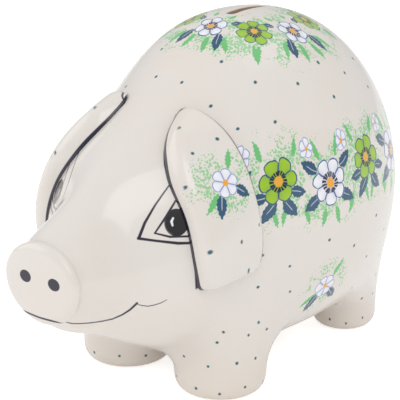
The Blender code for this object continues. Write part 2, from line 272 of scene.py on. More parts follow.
def ring_points(ring):
    """Sixteen points round one ring, from the top down the left side and back up the right."""
    y, half_width, top, bottom, widest, squareness, pinched = ring
    angles = list(RING_ANGLES)
    angles[7] += BELLY_ANGLE_SHIFT * min(1.0, squareness / 0.15)
    half = []
    for angle in map(math.radians, angles):
        across, along = abs(math.sin(angle)), math.cos(angle)
        power = 1.0 - squareness if along < 0 else 1.0
        height = top - widest if along > 0 else widest - bottom
        lift = math.copysign(abs(along) ** power, along)
        pinch = pinched * max(0.0, 2 * across * along)
        half.append(Vector((half_width * across ** power * (1 - pinch), y,
                            widest + height * lift * (1 - PINCH_DROP * pinch))))
    return half + [Vector((-p.x, p.y, p.z)) for p in reversed(half[1:-1])]


def pull_leg_down(piece, rings, leg, side, levels, wall):
    """Draw the belly patch under a shoulder down into a round leg with a flat sole."""
    station, x, y, radius, shoulder = leg
    columns = (5, 6, 7) if side > 0 else (11, 10, 9)
    patch = [rings[station + row][column] for row in (-1, 0, 1) for column in columns]
    rounds = [([height + wall for row in shoulder for height in row], wall + SHOULDER_NARROWER)]
    rounds += [([height] * 9, narrower) for height, narrower in levels]
    spokes = [Vector((side * (1 - column), 1 - row, 0)) for row in range(3) for column in range(3)]
    select_places(piece, patch)
    for heights, narrower in rounds:
        lower = [Vector((side * x, y, height)) + spoke.normalized() * (radius - narrower)
                 for spoke, height in zip(spokes, heights)]
        draw_out(piece, patch, lower)
        patch = lower


def pig_form(name, ring_sizes, leg_levels, snout_bulge, wall=0.0):
    rings = [ring_points(size) for size in ring_sizes]
    piece = start_ring(name, rings[0])
    for old, new in zip(rings, rings[1:]):
        draw_out(piece, old, new)
    close_with_grid(piece, rings[-1], -snout_bulge)
    close_with_grid(piece, rings[0], RUMP_BULGE)
    for leg in (FRONT_LEG, HIND_LEG):
        for side in (1, -1):
            pull_leg_down(piece, rings, leg, side, leg_levels, wall)
    return finish_modelling(piece)


def turned_form(name, profile):
    """A solid turned round the stopper's axis, from (radius, height) pairs, bottom first."""
    centre = Vector((0, STOPPER_Y, 0))
    return closed_form(name, [[centre + Vector((radius * math.cos(a), radius * math.sin(a), height))
                               for a in even_turn(ROUND_SIDES)] for radius, height in profile])


def slot_outline(grown):
    """A long slot with round ends, as offsets from its middle."""
    radius, half = SLOT_WIDTH / 2, (SLOT_LENGTH - SLOT_WIDTH) / 2
    outline = []
    for end in (1, -1):
        for angle in (math.pi * k / SLOT_END_SIDES for k in range(SLOT_END_SIDES + 1)):
            outline.append((end * math.cos(angle) * (radius + grown),
                            end * (half + math.sin(angle) * (radius + grown))))
        outline += [(-end * (radius + grown), end * half * (1 - k / 4)) for k in range(1, 8)]
    return outline


def slot_cutter(skin):
    """The coin slot, whose mouth widens softly as it meets the glaze."""
    def flat_ring(grown, z):
        return [Vector((x, SLOT_Y + y, z)) for x, y in slot_outline(grown)]

    def ring_on_back(grown, below):
        points = flat_ring(grown, 260)
        for point in points:
            point.z = skin.ray_cast(point * MM, Vector((0, 0, -1)))[0].z / MM - below
        return points
    return closed_form("slot_cutter", [flat_ring(SLOT_LIP[0][0], SLOT_FOOT_Z),
                                       *(ring_on_back(grown, below) for grown, below in SLOT_LIP),
                                       flat_ring(SLOT_LIP[-1][0], ABOVE_BACK_Z)])


def draw_in(piece):
    """Bring the smooth surface in to the width and height of the CAD model's coarser facets."""
    half_width = max(vertex.co.x for vertex in piece.data.vertices)
    height = max(vertex.co.z for vertex in piece.data.vertices)
    select_only(piece)
    piece.scale = (CAD_BOX[1][0] / half_width, 1.0, CAD_BOX[1][2] / height)
    bpy.ops.object.transform_apply(location=False, rotation=False, scale=True)


def make_body():
    body = pig_form("pig_body", rear_rings(0, 0) + list(HEAD_RINGS + SNOUT_RINGS), LEG_LEVELS,
                    SNOUT_BULGE)
    subdivide_smoothly(body, 3)
    draw_in(body)
    skin = surface_of(body)
    inner = [(y, half - WALL, top - WALL, bottom + BELLY_WALL, widest, square, pinched)
             for y, half, top, bottom, widest, square, pinched in HEAD_RINGS]
    hollow = pig_form("hollow_former", rear_rings(WALL, BELLY_WALL) + inner, HOLLOW_LEG_LEVELS,
                      HOLLOW_SNOUT_BULGE, WALL)
    subdivide_smoothly(hollow, 2)
    seat = turned_form("seat_cutter", ((SEAT_RADIUS, SEAT_Z - 20), (SEAT_RADIUS, SEAT_Z),
                                       (HOLE_RADIUS, SEAT_Z), (HOLE_RADIUS, SEAT_Z + 15)))
    slot = slot_cutter(skin)
    body.data.materials.append(body_glaze(skin))
    clay = bare_clay()
    for cutter in (hollow, seat, slot):
        cutter.data.materials.append(clay)
    slot.data.materials.append(body.data.materials[0])
    for face in slot.data.polygons:
        lowest = min(slot.data.vertices[v].co.z for v in face.vertices)
        face.material_index = int(lowest > SLOT_GLAZED_Z * MM)
    for cutter in (hollow, slot, seat):
        cut_away(body, cutter)
    shade_smooth(body)
    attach(body, "pig")
    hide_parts("body_shell")
    return skin


# ---------------- ears

EAR_SLANT = math.radians(40)
# Outline of an ear in a slanted plane: y, and height up the side of the head, from top to bottom.
EAR_FRONT = ((-39.4, 97.4), (-44.8, 94.0), (-51.6, 88.6), (-58.0, 80.4), (-63.0, 67.5),
             (-64.2, 50.0), (-65.1, 33.0), (-63.4, 20.8))
EAR_REAR = ((-38.6, 97.0), (-35.8, 90.8), (-33.4, 79.8), (-32.4, 67.0), (-32.2, 41.5),
            (-31.2, 29.0), (-31.6, 23.0), (-33.2, 20.4))
EAR_BOTTOM = ((-63.4, 20.8), (-56.0, 20.0), (-44.0, 19.0), (-36.4, 18.8), (-33.2, 20.4))
EAR_ACROSS = 34
EAR_DOWN = 64
EAR_LENGTH = 78.0
EAR_SUNK = 0.6
EAR_WALL = 2.0
EAR_TIP_HEIGHT = 2.6
EAR_CREST_HEIGHT = 6.2
EAR_CREST_FALL = 4.2
EAR_CREST_FROM = 0.2
EAR_TIP_SHARE = 0.3
# A low roll down the front: height, place across the ear, and spread.
EAR_ROLL = (0.5, 0.16, 0.08)
# How far the flap rolls over at its front, rear, tip and bottom.
EAR_EDGES = (6.0, 3.2, 3.0, 3.6)
CHART_UNIT = 100.0


def on_curve(points, share):
    last = len(points) - 1
    place = min(share * last, last - 1e-9)
    index = int(place)
    four = (max(index - 1, 0), index, index + 1, min(index + 2, last))
    return between(*(Vector(points[k]) for k in four), place - index)


def ear_chart(across, down):
    """Place in the outline plane for a share across the ear, front to rear, and down it."""
    front, rear = on_curve(EAR_FRONT, down), on_curve(EAR_REAR, down)
    bottom = on_curve(EAR_BOTTOM, across)
    tip = Vector(EAR_FRONT[0]).lerp(Vector(EAR_REAR[0]), across)
    low = Vector(EAR_FRONT[-1]).lerp(Vector(EAR_REAR[-1]), across)
    return front.lerp(rear, across) + tip.lerp(bottom, down) - tip.lerp(low, down)


def ear_place(skin, side, chart):
    """Where a chart place lies on the head, with the direction out of the head there."""
    look = Vector((side * math.cos(EAR_SLANT), 0.0, math.sin(EAR_SLANT)))
    upward = Vector((-side * math.sin(EAR_SLANT), 0.0, math.cos(EAR_SLANT)))
    start = upward * chart[1] + look * 150.0 + Vector((0.0, chart[0], 0.0))
    outward = Vector()
    for aside in (Vector(), upward * 3, upward * -3, Vector((0, 3, 0)), Vector((0, -3, 0))):
        outward += skin.ray_cast((start + aside) * MM, -look)[1]
    return skin.ray_cast(start * MM, -look)[0] / MM, outward.normalized()


def rolled_edge(distance, radius):
    return 1.0 - (1.0 - min(1.0, distance / radius)) ** 2


def ear_height(across, down, width):
    """How far the flap stands off the head: thick and rolled in front, thin at the rear."""
    share = max(0.0, (across - EAR_CREST_FROM) / (1.0 - EAR_CREST_FROM))
    crest = EAR_CREST_HEIGHT - EAR_CREST_FALL * math.sin(share * math.pi / 2)
    swell, middle, spread = EAR_ROLL
    roll = swell * math.exp(-((across - middle) / spread) ** 2) * math.sin(math.pi * down)
    risen = min(1.0, down / EAR_TIP_SHARE)
    height = EAR_TIP_HEIGHT + (crest + roll - EAR_TIP_HEIGHT) * risen
    gaps = (across * width, (1 - across) * width, down * EAR_LENGTH, (1 - down) * EAR_LENGTH)
    edges = math.prod(rolled_edge(gap, radius) for gap, radius in zip(gaps, EAR_EDGES))
    return (height + EAR_SUNK) * edges - EAR_SUNK


def eased(share):
    """Bunches the grid towards both edges, where the flap rolls over."""
    return share - 0.85 * math.sin(2 * math.pi * share) / (2 * math.pi)


def make_ear(name, side, skin, node, material):
    nothing_selected()
    bpy.ops.mesh.primitive_grid_add(x_subdivisions=EAR_ACROSS, y_subdivisions=EAR_DOWN, size=1.0)
    ear = bpy.context.object
    ear.name = ear.data.name = name
    grid = {}
    for vertex in ear.data.vertices:
        column, row = round((vertex.co.x + 0.5) * EAR_ACROSS), round((0.5 - vertex.co.y) * EAR_DOWN)
        across, down = eased(column / EAR_ACROSS), eased(row / EAR_DOWN)
        chart = ear_chart(across, down)
        width = (on_curve(EAR_REAR, down) - on_curve(EAR_FRONT, down)).length
        foot, normal = ear_place(skin, side, chart)
        vertex.co = (foot + normal * ear_height(across, down, width)) * MM
        grid[column, row] = (vertex.index, chart)
    points = {cell: ear.data.vertices[index].co.copy() for cell, (index, chart) in grid.items()}

    def run(cells):
        """Distance over the surface from the first cell to each of the rest."""
        total, distances = 0.0, [0.0]
        for old, new in zip(cells, cells[1:]):
            total += (points[new] - points[old]).length / MM
            distances.append(total)
        return distances
    front, rim = {}, {}
    for row in range(EAR_DOWN + 1):
        cells = [(column, row) for column in range(EAR_ACROSS + 1)]
        for cell, away, back in zip(cells, run(cells), reversed(run(cells[::-1]))):
            front[cell], rim[cell] = away, back
    for column in range(EAR_ACROSS + 1):
        cells = [(column, row) for row in range(EAR_DOWN + 1)]
        for cell, down, up in zip(cells, run(cells), reversed(run(cells[::-1]))):
            rim[cell] = min(rim[cell], down, up)
    cell_of = {index: cell for cell, (index, chart) in grid.items()}
    for layer_name, value in (("chart", lambda cell: grid[cell][1]),
                              ("rim", lambda cell: (front[cell], rim[cell])),
                              ("share", lambda cell: (cell[1] / EAR_DOWN * CHART_UNIT, 0.0))):
        layer = ear.data.uv_layers.new(name=layer_name)
        for loop, uv in zip(ear.data.loops, layer.data):
            uv.uv = Vector(value(cell_of[loop.vertex_index])) / CHART_UNIT
    ear.data.update()
    middle = ear.data.polygons[len(ear.data.polygons) // 2]
    if middle.normal.x * side < 0:
        bpy.ops.object.mode_set(mode="EDIT")
        bpy.ops.mesh.select_all(action="SELECT")
        bpy.ops.mesh.flip_normals()
        bpy.ops.object.mode_set(mode="OBJECT")
    apply_modifier(ear, "SOLIDIFY", thickness=EAR_WALL * MM, offset=-1.0)
    ear.data.materials.append(material)
    shade_smooth(ear, 60)
    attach(ear, "pig")
    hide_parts(node)


# ---------------- tail and stopper

TAIL_CENTRE = Vector((0.0, 118.1, 93.0))
TAIL_TURN = math.radians(285)
TAIL_CURL = 8.4
TAIL_CURL_TIGHTENS = 3.2
TAIL_ROOT_DEPTH = 8.0
TAIL_ROOT_SHARE = 0.26
TAIL_THICKNESS = 3.3
TAIL_TAPER = 1.65
TAIL_JOIN_SWELL = 1.8
TAIL_SIDES = 14
TAIL_RINGS = 44
TAIL_TIP_RINGS = 3
STOPPER_CLEARANCE = 0.3
STOPPER_CORNER = 0.5
CORNER_STEPS = 4
FLANGE_THICKNESS = 2.4
BAR_SIZE = (16.0, 3.0, 3.2)
BAR_BEVEL = 0.8


def tail_point(share):
    """The middle of the tail, from its root in the rump to the end of its curl."""
    turn = -math.pi / 2 + share * TAIL_TURN
    radius = TAIL_CURL - TAIL_CURL_TIGHTENS * share
    depth = TAIL_ROOT_DEPTH * max(0.0, 1.0 - share / TAIL_ROOT_SHARE) ** 2
    return TAIL_CENTRE + Vector((radius * math.cos(turn), -depth - 1.6 * share,
                                 radius * math.sin(turn)))


def make_tail(skin, material):
    rings = []
    for index in range(TAIL_RINGS + TAIL_TIP_RINGS + 1):
        share = min(1.0, index / TAIL_RINGS)
        centre = tail_point(share)
        heading = (tail_point(share + 0.01) - tail_point(share - 0.01)).normalized()
        past_tip = max(0, index - TAIL_RINGS) / TAIL_TIP_RINGS
        radius = (TAIL_THICKNESS - TAIL_TAPER * share) * math.sqrt(max(0.02, 1 - past_tip ** 2))
        centre += heading * 1.6 * past_tip
        near, normal = skin.find_nearest(centre * MM)[:2]
        clear = (centre - near / MM).dot(normal)
        radius += TAIL_JOIN_SWELL * math.exp(-max(0.0, clear) / 1.6)
        sideways = heading.cross(Vector((0, 1, 0))).normalized()
        outward = sideways.cross(heading)
        rings.append([centre + radius * (sideways * math.cos(a) + outward * math.sin(a))
                      for a in even_turn(TAIL_SIDES)])
    tail = closed_form("curled_tail", rings)
    subdivide_smoothly(tail, 1)
    tail.data.materials.append(material)
    shade_smooth(tail)
    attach(tail, "pig")
    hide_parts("tail")


def rounded(profile):
    """The profile with all its corners rounded."""
    points = [Vector(point) for point in profile]
    result = [points[0]]
    for before, corner, after in zip(points, points[1:], points[2:]):
        reach = min(STOPPER_CORNER, (corner - before).length * 0.45,
                    (after - corner).length * 0.45)
        start = corner + (before - corner).normalized() * reach
        end = corner + (after - corner).normalized() * reach
        for t in (k / CORNER_STEPS for k in range(CORNER_STEPS + 1)):
            result.append(start * (1 - t) ** 2 + corner * 2 * t * (1 - t) + end * t ** 2)
    return result + [points[-1]]


def make_stopper():
    """Soft bung: a flange in the belly seat, a ribbed hollow barrel, and a pull bar below."""
    top = SEAT_Z - STOPPER_CLEARANCE
    base = top - FLANGE_THICKNESS
    profile = [(0.6, base), (10.0, base), (10.6, base + 0.35), (15.2, base + 0.35), (15.8, base),
               (17.8, base + 0.2), (17.8, top), (14.0, top)]
    for rib in (2.6, 5.2):
        profile += [(13.6, top + rib - 1.2), (14.0, top + rib), (13.6, top + rib + 1.2)]
    profile += [(13.7, top + 8.2), (13.0, top + 9.0), (11.2, top + 9.0), (11.2, base + 1.8),
                (0.6, base + 1.8)]
    bung = turned_form("belly_stopper", rounded(profile))
    nothing_selected()
    bpy.ops.mesh.primitive_cube_add(size=1.0, location=(0, STOPPER_Y * MM, (base - 0.6) * MM),
                                    scale=[side * MM for side in BAR_SIZE])
    bar = bpy.context.object
    bpy.ops.object.transform_apply(location=True, rotation=True, scale=True)
    bpy.ops.object.mode_set(mode="EDIT")
    bpy.ops.mesh.select_all(action="SELECT")
    bpy.ops.mesh.bevel(offset=BAR_BEVEL * MM, segments=4, affect="EDGES")
    bpy.ops.object.mode_set(mode="OBJECT")
    cut_away(bung, bar, "UNION")
    bung.data.materials.clear()
    bung.data.materials.append(black_rubber())
    shade_smooth(bung, 30)
    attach(bung, "bung")
    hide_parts("stopper")


# ---------------- shader arithmetic

class Value:
    """Something that varies over the surface: the output of a shader node, with arithmetic."""

    def __init__(self, tree, socket):
        self.tree, self.socket = tree, socket

    def math(self, operation, *others, clamp=False):
        node = self.tree.nodes.new("ShaderNodeMath")
        node.operation = operation
        node.use_clamp = clamp
        for socket, operand in zip(node.inputs, (self, *others)):
            plug(self.tree, socket, operand)
        return Value(self.tree, node.outputs[0])

    def vector(self, operation, other=None, scale=None, result="Vector"):
        node = self.tree.nodes.new("ShaderNodeVectorMath")
        node.operation = operation
        plug(self.tree, node.inputs[0], self)
        plug(self.tree, node.inputs[1], other)
        if operation == "SCALE":
            plug(self.tree, node.inputs["Scale"], scale)
        return Value(self.tree, node.outputs[result])

    def __add__(self, other):
        return self.math("ADD", other)

    def __sub__(self, other):
        return self.math("SUBTRACT", other)

    def __mul__(self, other):
        return self.math("MULTIPLY", other)

    def __truediv__(self, other):
        return self.math("DIVIDE", other)

    def __abs__(self):
        return self.math("ABSOLUTE")

    def less_from(self, start):
        """The start value less this one."""
        return self.math("MULTIPLY_ADD", -1.0, start)

    def inside(self, soft=0.3):
        """1 where this distance is below zero, 0 above, with a soft step between."""
        return self.math("MULTIPLY_ADD", -1.0 / soft, 0.5, clamp=True)

    def outside(self, soft=0.3):
        """0 where this distance is below zero, 1 above."""
        return self.inside(soft).less_from(1.0)


def plug(tree, socket, given):
    if isinstance(given, Value):
        tree.links.new(given.socket, socket)
    elif given is not None:
        socket.default_value = given


def plug_in(tree, node, given):
    """Give a node's inputs their values, by name or by number."""
    for label, value in given.items():
        plug(tree, node.inputs[label], value)
    return node


def add_node(tree, kind, given):
    return plug_in(tree, tree.nodes.new("ShaderNode" + kind), given)


def ink(red, green, blue):
    """A colour from its 0 to 255 screen values."""
    return tuple(((c / 255 + 0.055) / 1.055) ** 2.4 for c in (red, green, blue)) + (1.0,)


def over(under, paint, cover):
    """Paint laid over a colour where the cover says."""
    node = add_node(cover.tree, "Mix", {0: cover, 6: under, 7: paint})
    node.data_type = "RGBA"
    return Value(cover.tree, node.outputs[2])


def new_group(name, takes, gives):
    tree = bpy.data.node_groups.new(name, "ShaderNodeTree")
    for labels, direction in ((takes, "INPUT"), (gives, "OUTPUT")):
        for label, kind in labels.items():
            tree.interface.new_socket(label, in_out=direction, socket_type="NodeSocket" + kind)
    source, sink = tree.nodes.new("NodeGroupInput"), tree.nodes.new("NodeGroupOutput")
    return tree, {label: Value(tree, source.outputs[label]) for label in takes}, sink


def use_group(tree, name, **given):
    node = tree.nodes.new("ShaderNodeGroup")
    node.node_tree = bpy.data.node_groups[name]
    plug_in(tree, node, given)
    return {socket.name: Value(tree, socket) for socket in node.outputs}


def noise(tree, place, scale, detail=2.0, output="Fac"):
    node = add_node(tree, "TexNoise", {"Vector": place, "Scale": scale, "Detail": detail})
    return Value(tree, node.outputs[output])


def span(x, y):
    """How far a place lies from the origin."""
    return (x * x + y * y).math("SQRT")


def split(place):
    node = add_node(place.tree, "SeparateXYZ", {0: place})
    return [Value(place.tree, socket) for socket in node.outputs]


# ---------------- paint groups

NAVY = ink(20, 16, 46)
PUPIL_BLACK = ink(10, 6, 16)
BLUE_LINE = ink(44, 84, 150)
LILAC_LINE = ink(140, 152, 200)
TEAL = ink(38, 84, 116)
DOT = ink(40, 98, 112)
LIME = ink(160, 204, 2)
PETAL = ink(246, 247, 252)
ORANGE = ink(240, 168, 44)
FRESH_GREEN = ink(108, 194, 118)
SPONGE_GREEN = ink(138, 205, 142)
THIN_LINE = ink(88, 74, 98)
# Grey of the painted reflection in each pupil.
REFLECTION_GREY = ink(96, 84, 104)
EYE_LIGHT = ink(246, 246, 248)
IVORY = ink(229, 223, 217)
# Warm ivory for the drift and specks of the glaze, and for the painted shade low on the legs.
WARM_IVORY = ink(226, 213, 198)
CLAY = ink(196, 162, 128)
SLOT_CLAY = ink(150, 130, 112)
RUBBER = ink(22, 22, 24)
DUSTY_RUBBER = ink(48, 47, 46)


def stroke_group():
    """A brush stroke from one point to another, with its own half width at each end."""
    tree, take, give = new_group("stroke", {"place": "Vector", "start": "Vector", "end": "Vector",
                                            "start_width": "Float", "end_width": "Float"},
                                 {"cover": "Float"})
    along = take["end"].vector("SUBTRACT", take["start"])
    away = take["place"].vector("SUBTRACT", take["start"])
    share = (away.vector("DOT_PRODUCT", along, result="Value")
             .math("DIVIDE", along.vector("DOT_PRODUCT", along, result="Value"), clamp=True))
    nearest = along.vector("SCALE", scale=share)
    distance = away.vector("DISTANCE", nearest, result="Value")
    wider = take["end_width"] - take["start_width"]
    width = wider.math("MULTIPLY_ADD", share, take["start_width"])
    plug(tree, give.inputs["cover"], (distance - width).inside(0.35))


def dots_group():
    """Small round dots in staggered rows, a little out of line as a hand leaves them."""
    tree, take, give = new_group("dots", {"x": "Float", "y": "Float", "pitch": "Float",
                                          "radius": "Float"}, {"cover": "Float"})
    across, up = take["x"] / take["pitch"], take["y"] / take["pitch"]
    row = up.math("FLOOR")
    across = across + row.math("MODULO", 2.0) * 0.5
    cell = add_node(tree, "CombineXYZ", {0: across.math("FLOOR"), 1: row})
    chance = add_node(tree, "TexWhiteNoise", {"Vector": Value(tree, cell.outputs[0])})
    shift_x, shift_y, size = split(Value(tree, chance.outputs["Color"]))
    x = across.math("FRACT") - shift_x.math("MULTIPLY_ADD", 0.3, 0.35)
    y = up.math("FRACT") - shift_y.math("MULTIPLY_ADD", 0.3, 0.35)
    distance = span(x, y) * take["pitch"]
    radius = take["radius"] * size.math("MULTIPLY_ADD", 0.3, 0.85)
    plug(tree, give.inputs["cover"], (distance - radius).inside(0.5))


def sponge_group():
    """Dabs of a fine sponge, inside a zone that fades from 1 to 0."""
    tree, take, give = new_group("sponge", {"place": "Vector", "zone": "Float"}, {"cover": "Float"})
    cells = add_node(tree, "TexVoronoi", {"Vector": take["place"], "Scale": 0.8})
    patches = (noise(tree, take["place"], 0.11, 1.0) - 0.36).math("MULTIPLY", 6.0, clamp=True)
    reach = take["zone"].math("SQRT") * patches * 0.56
    dab = (Value(tree, cells.outputs["Distance"]) - reach).inside(0.2)
    plug(tree, give.inputs["cover"], dab * patches * 0.9)


def bloom_group():
    """A round-petalled flower: outlined petals, a ring of stamens and a yellow heart."""
    tree, take, give = new_group(
        "bloom", {"x": "Float", "y": "Float", "radius": "Float", "petals": "Float", "turn": "Float",
                  "line_width": "Float", "petal": "Color", "line": "Color", "stamens": "Float"},
        {"colour": "Color", "cover": "Float"})
    x, y, radius = take["x"], take["y"], take["radius"]
    reach = span(x, y)
    angle = y.math("ARCTAN2", x) / (2 * math.pi)
    turn = angle * take["petals"] + take["turn"]
    across = abs(turn.math("FRACT") - 0.5) * 2.0
    edge = reach - radius * (across.math("POWER", 3.0)).math("MULTIPLY_ADD", -0.24, 1.0)
    seam = across.less_from(1.0) * reach * math.pi / take["petals"]
    line = (abs(edge) - take["line_width"]).inside().math(
        "MAXIMUM", (seam - take["line_width"]).inside() * edge.inside())
    tint = (across * across * 0.26).math("ADD", (reach / radius).less_from(1.0) * 0.22, clamp=True)
    colour = over(take["petal"], take["line"], tint)
    colour = over(colour, take["line"], line)
    spokes = abs((angle * 17.0).math("FRACT") - 0.5)
    ring = (abs(reach - radius * 0.36) - radius * 0.11).inside() * take["stamens"]
    colour = over(colour, NAVY, (spokes - 0.36).inside(0.2) * ring)
    colour = over(colour, ORANGE, (reach - radius * 0.22).inside(0.6))
    plug_in(tree, give, {"colour": colour, "cover": (edge - take["line_width"]).inside()})


def leaf_group():
    """An almond leaf from the origin to its tip, with a pale midrib."""
    tree, take, give = new_group("leaf", {"x": "Float", "y": "Float", "tip_x": "Float",
                                          "tip_y": "Float", "width": "Float", "rib": "Float",
                                          "paint": "Color"},
                                 {"colour": "Color", "cover": "Float"})
    x, y, tip_x, tip_y = (take[label] for label in ("x", "y", "tip_x", "tip_y"))
    length = span(tip_x, tip_y)
    along = (x * tip_x + y * tip_y) / (length * length)
    aside = abs((x * tip_y - y * tip_x) / length)
    bowed = along.math("MINIMUM", 1.0).math("MAXIMUM", 0.0).math("POWER", 0.8)
    swell = (bowed * math.pi).math("SINE").math("MAXIMUM", 0.0).math("POWER", 0.7) * take["width"]
    teeth = (along * 34.0).math("SINE") * 0.26
    past = (abs(along - 0.5) - 0.5).math("MAXIMUM", 0.0) * length
    cover = (aside - swell - teeth * 0.8 + past + 0.2).inside(0.4)
    rib = (aside - 0.16).inside(0.3) * (along - 0.62).inside(0.1) * take["rib"]
    plug_in(tree, give, {"colour": over(take["paint"], PETAL, rib * 0.7), "cover": cover})


def glaze_group():
    """Clear glaze over ivory clay, with a drift of colour, specks, painted shade warming the lower
    legs, a ripple and bare soles.
    """
    tree, take, give = new_group("glaze", {"place": "Vector", "height": "Float"},
                                 {"colour": "Color", "roughness": "Float", "ripple": "Float",
                                  "bare": "Float"})
    drift = noise(tree, take["place"], 0.022, 3.0)
    colour = over(IVORY, WARM_IVORY, ((drift - 0.45) * 2.2).math("MULTIPLY", 0.5, clamp=True))
    specks = noise(tree, take["place"], 0.9, 4.0)
    colour = over(colour, WARM_IVORY, ((specks - 0.6) * 3.0).math("MULTIPLY", 0.5, clamp=True))
    # Painted shade: the colour turns warmer and darker towards the bottom of the legs.
    low = (take["height"] - 14.0).inside(26.0)
    colour = over(colour, WARM_IVORY, low * 0.45)
    edge = noise(tree, take["place"], 0.35, 3.0)
    bare = (take["height"] - edge * 1.6 + 0.1).inside(0.5)
    colour = over(colour, CLAY, bare)
    plug_in(tree, give, {"colour": colour, "bare": bare,
                         "roughness": bare * 0.5 + specks * 0.06 + 0.22,
                         "ripple": noise(tree, take["place"], 0.07, 1.0) + specks * 0.03})


# ---------------- painted decoration
# Flowers and leaves lie in charts of their own, in millimetres: u and v, or x and y.

def bloom(colour, x, y, radius, petals, turn, petal, line, line_width=0.38, stamens=1.0):
    flower = use_group(x.tree, "bloom", x=x, y=y, radius=radius, petals=petals, turn=turn,
                       petal=petal, line=line, line_width=line_width, stamens=stamens)
    return over(colour, flower["colour"], flower["cover"])


def leaves(colour, x, y, blades, paint, rib=1.0):
    """Leaves given by base, tip and width, in the same chart as x and y."""
    for base, tip, width in blades:
        blade = use_group(x.tree, "leaf", x=x - base[0], y=y - base[1], tip_x=tip[0] - base[0],
                          tip_y=tip[1] - base[1], width=width, paint=paint, rib=rib)
        colour = over(colour, blade["colour"], blade["cover"])
    return colour


def green_and_teal(colour, x, y, green, teal):
    """Small plain green leaves under larger teal ones with a midrib."""
    return leaves(leaves(colour, x, y, green, FRESH_GREEN, 0.0), x, y, teal, TEAL)


def sponged(colour, place, zone):
    dabs = use_group(place.tree, "sponge", place=place, zone=zone)
    return over(colour, SPONGE_GREEN, dabs["cover"])


GARLAND_Z = 107.0
GARLAND_RADIUS = 74.0
GARLAND_STEP = 32.0
GARLAND_EDGE = 27.0
GARLAND_FRONT_Y = -42.0
GARLAND_GREEN = (((6, 9), (9, 20), 1.7), ((23, 13), (19, 22), 1.7), ((3, -15), (6, -24), 1.7),
                 ((17, -11), (14, -21), 1.8), ((28, -9), (31, -19), 1.6))
GARLAND_TEAL = (((8, 4), (17.5, 9.5), 3.1), ((7, -8), (17, -14), 3.4), ((25, -3), (16, -4.5), 3.0),
                ((30, -6), (22, -15), 3.4))


def garland(under, place, x, y, z):
    """A border round the body: white and lime flowers in turn, with leaves and small blossoms."""
    run = abs(x).math("ARCTAN2", y - BARREL_CENTRE_Y) * GARLAND_RADIUS
    u = run.math("PINGPONG", GARLAND_STEP)
    v = z - GARLAND_Z
    colour = sponged(under, place, (abs(v + (u * 0.2).math("SINE") * 3.0) - 19.0).inside(13.0))
    colour = green_and_teal(colour, u, v, GARLAND_GREEN, GARLAND_TEAL)
    colour = bloom(colour, u - 13.0, v - 15.5, 4.6, 5.0, 0.1, PETAL, LILAC_LINE, 0.25, 0.0)
    colour = bloom(colour, u, v + 2.5, 11.2, 7.0, 0.25, PETAL, BLUE_LINE)
    colour = bloom(colour, u - GARLAND_STEP, v - 3.0, 10.6, 6.0, 0.5, LIME, TEAL)
    return over(under, colour, (y - GARLAND_FRONT_Y).outside(1.0))


WREATH_SECTOR = math.radians(45)
WREATH_RADIUS = 29.5
WREATH_EDGE = 44.0
BACK_RADIUS = 78.0
BACK_FROM_Z = 120.0
WREATH_GREEN = (((37, 4), (47, 7), 1.8), ((34, 12), (42, 19), 1.8), ((29, 27), (35, 35), 1.8),
                ((20, 5), (15, 6), 1.3))
WREATH_TEAL = (((33, 8), (43, 13), 2.8), ((24, 28), (29, 37), 2.8), ((24, 9), (20, 12), 2.0))


def wreath(colour, place, x, y):
    """A ring of flowers on the back, round the coin slot."""
    fore = y - SLOT_Y
    reach = (span(x, fore) / BACK_RADIUS).math("MINIMUM", 1.0).math("ARCSINE") * BACK_RADIUS
    angle = abs(x).math("ARCTAN2", fore).math("PINGPONG", WREATH_SECTOR)
    u, v = reach * angle.math("COSINE"), reach * angle.math("SINE")
    wave = (angle * 9.0).math("COSINE") * 2.5
    colour = sponged(colour, place, (abs(reach - 31.0 + wave) - 16.0).inside(8.0))
    colour = green_and_teal(colour, u, v, WREATH_GREEN, WREATH_TEAL)
    colour = bloom(colour, u - WREATH_RADIUS, v, 8.2, 6.0, 0.5, PETAL, BLUE_LINE, 0.3)
    corner = WREATH_RADIUS * math.sqrt(0.5)
    return bloom(colour, u - corner, v - corner, 8.8, 7.0, 0.125, LIME, TEAL, 0.3)


# Where the sprigs sit: on the belly by y and z, on an ear in its own chart.
BELLY_SPRIG = (14.0, 49.0)
EAR_SPRIG = (-46.0, 57.0)
SPRIG_EDGE = 17.0
SPRIG_GREEN = (((4, 5), (9, 13), 1.6), ((-5, -3), (-13, -9), 1.6))
SPRIG_TEAL = (((-4, -4), (-8, -13), 2.6), ((4, -3), (10, -9), 2.6))


def sprig(colour, place, u, v):
    """A small blossom with a few leaves."""
    colour = sponged(colour, place, (span(u, v) - 13.0).inside(8.0))
    colour = green_and_teal(colour, u, v, SPRIG_GREEN, SPRIG_TEAL)
    return bloom(colour, u, v, 6.2, 6.0, 0.5, PETAL, LILAC_LINE, 0.26, 0.0)


# Face lines, drawn on the left side and repeated on the right: x, y, z and half width.
BRUSH = 1.35
EYE_OUTER = ((32.4, -57.8, 121.6, 0.28), (30.7, -64.3, 114.7, 0.28), (28.6, -72.3, 106.2, 0.36),
             (27.3, -78.0, 98.9, 0.5), (27.3, -82.1, 92.7, 0.55))
EYE_OUTER_LOW = ((27.1, -82.4, 92.5, 0.5), (33.1, -77.0, 91.2, 0.42), (40.8, -70.3, 89.9, 0.52),
                 (44.9, -66.2, 89.8, 0.45), (49.0, -61.5, 89.8, 0.45))
EYE_INNER = ((36.6, -59.6, 115.2, 0.38), (35.5, -64.6, 109.1, 0.38), (34.0, -71.0, 101.3, 0.42),
             (32.0, -76.4, 94.5, 0.3))
EYE_INNER_LOW = ((32.0, -76.4, 94.5, 0.28), (37.5, -72.1, 92.8, 0.4), (44.5, -65.3, 92.8, 0.38),
                 (48.6, -60.7, 92.8, 0.38))
